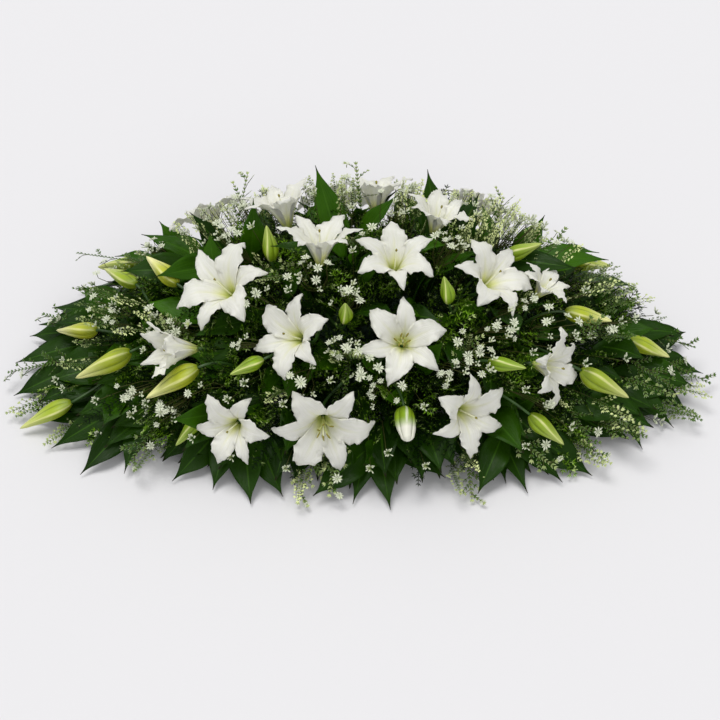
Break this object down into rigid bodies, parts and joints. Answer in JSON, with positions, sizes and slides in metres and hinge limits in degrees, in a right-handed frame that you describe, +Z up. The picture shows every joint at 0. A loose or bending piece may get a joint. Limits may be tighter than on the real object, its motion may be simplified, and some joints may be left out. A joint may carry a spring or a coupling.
{
  "type": "casket spray",
  "caption": "Low oval casket spray of open white lilies and green buds over broad leaves, fern and white filler, standing in foam in a shallow tray.",
  "frame": {"origin": "middle of the tray's flat underside, on the surface that the spray rests on", "axes": "+X along the spray's length, -Y towards the side seen from the front, +Z up"},
  "size_m": [1.0457, 0.586, 0.2936],
  "materials": {
    "petal": "soft white with a faint green-yellow throat, matt with a slight sheen",
    "bud": "smooth yellow-green, cream along the ridges",
    "leaf": "glossy dark green with faint parallel veins",
    "fern": "matt dark green, fine",
    "filler": "pale green twigs with white florets",
    "foam": "matt green foam, wet",
    "tray": "satin dark green"
  },
  "bodies": {
    "root": {"fern_front_left": "fern", "fern_front_right": "fern", "fern_left": "fern", "fern_rear_left": "fern", "fern_rear_right": "fern", "fern_right": "fern", "filler_front": "filler", "filler_front_right": "filler", "filler_left": "filler", "filler_left_end": "filler", "filler_right": "filler", "filler_right_end": "filler", "filler_top_left": "filler", "filler_top_middle": "filler", "filler_top_right": "filler", "foam_block": "foam", "holder_tray": "tray", "leaves_front_left": "leaf", "leaves_front_middle": "leaf", "leaves_front_right": "leaf", "leaves_left": "leaf", "leaves_left_end": "leaf", "leaves_rear_left": "leaf", "leaves_rear_middle": "leaf", "leaves_rear_right": "leaf", "leaves_right_end": "leaf", "leaves_top_left": "leaf", "leaves_top_middle": "leaf", "leaves_top_right": "leaf", "lily_back_left": "petal", "lily_back_middle": "petal", "lily_back_right": "petal", "lily_far_right": "petal", "lily_front_low_left": "petal", "lily_front_low_middle": "petal", "lily_front_low_right": "petal", "lily_front_mid_left": "petal", "lily_front_mid_middle": "petal", "lily_left_half_open": "petal", "lily_rear_left": "petal", "lily_rear_middle": "petal", "lily_rear_right": "petal", "lily_right_side": "petal", "lily_top_left": "petal", "lily_top_mid_left": "petal", "lily_top_mid_right": "petal", "lily_top_right": "petal", "stalk_far_left": "bud", "stalk_far_right": "bud", "stalk_front_left": "bud", "stalk_front_middle": "bud", "stalk_front_right": "bud", "stalk_left": "bud", "stalk_middle_left": "bud", "stalk_rear_left": "bud", "stalk_rear_middle": "bud", "stalk_rear_right": "bud", "stalk_right": "bud", "stalk_top_left": "bud", "stalk_top_right": "bud"}
  },
  "joints": []
}
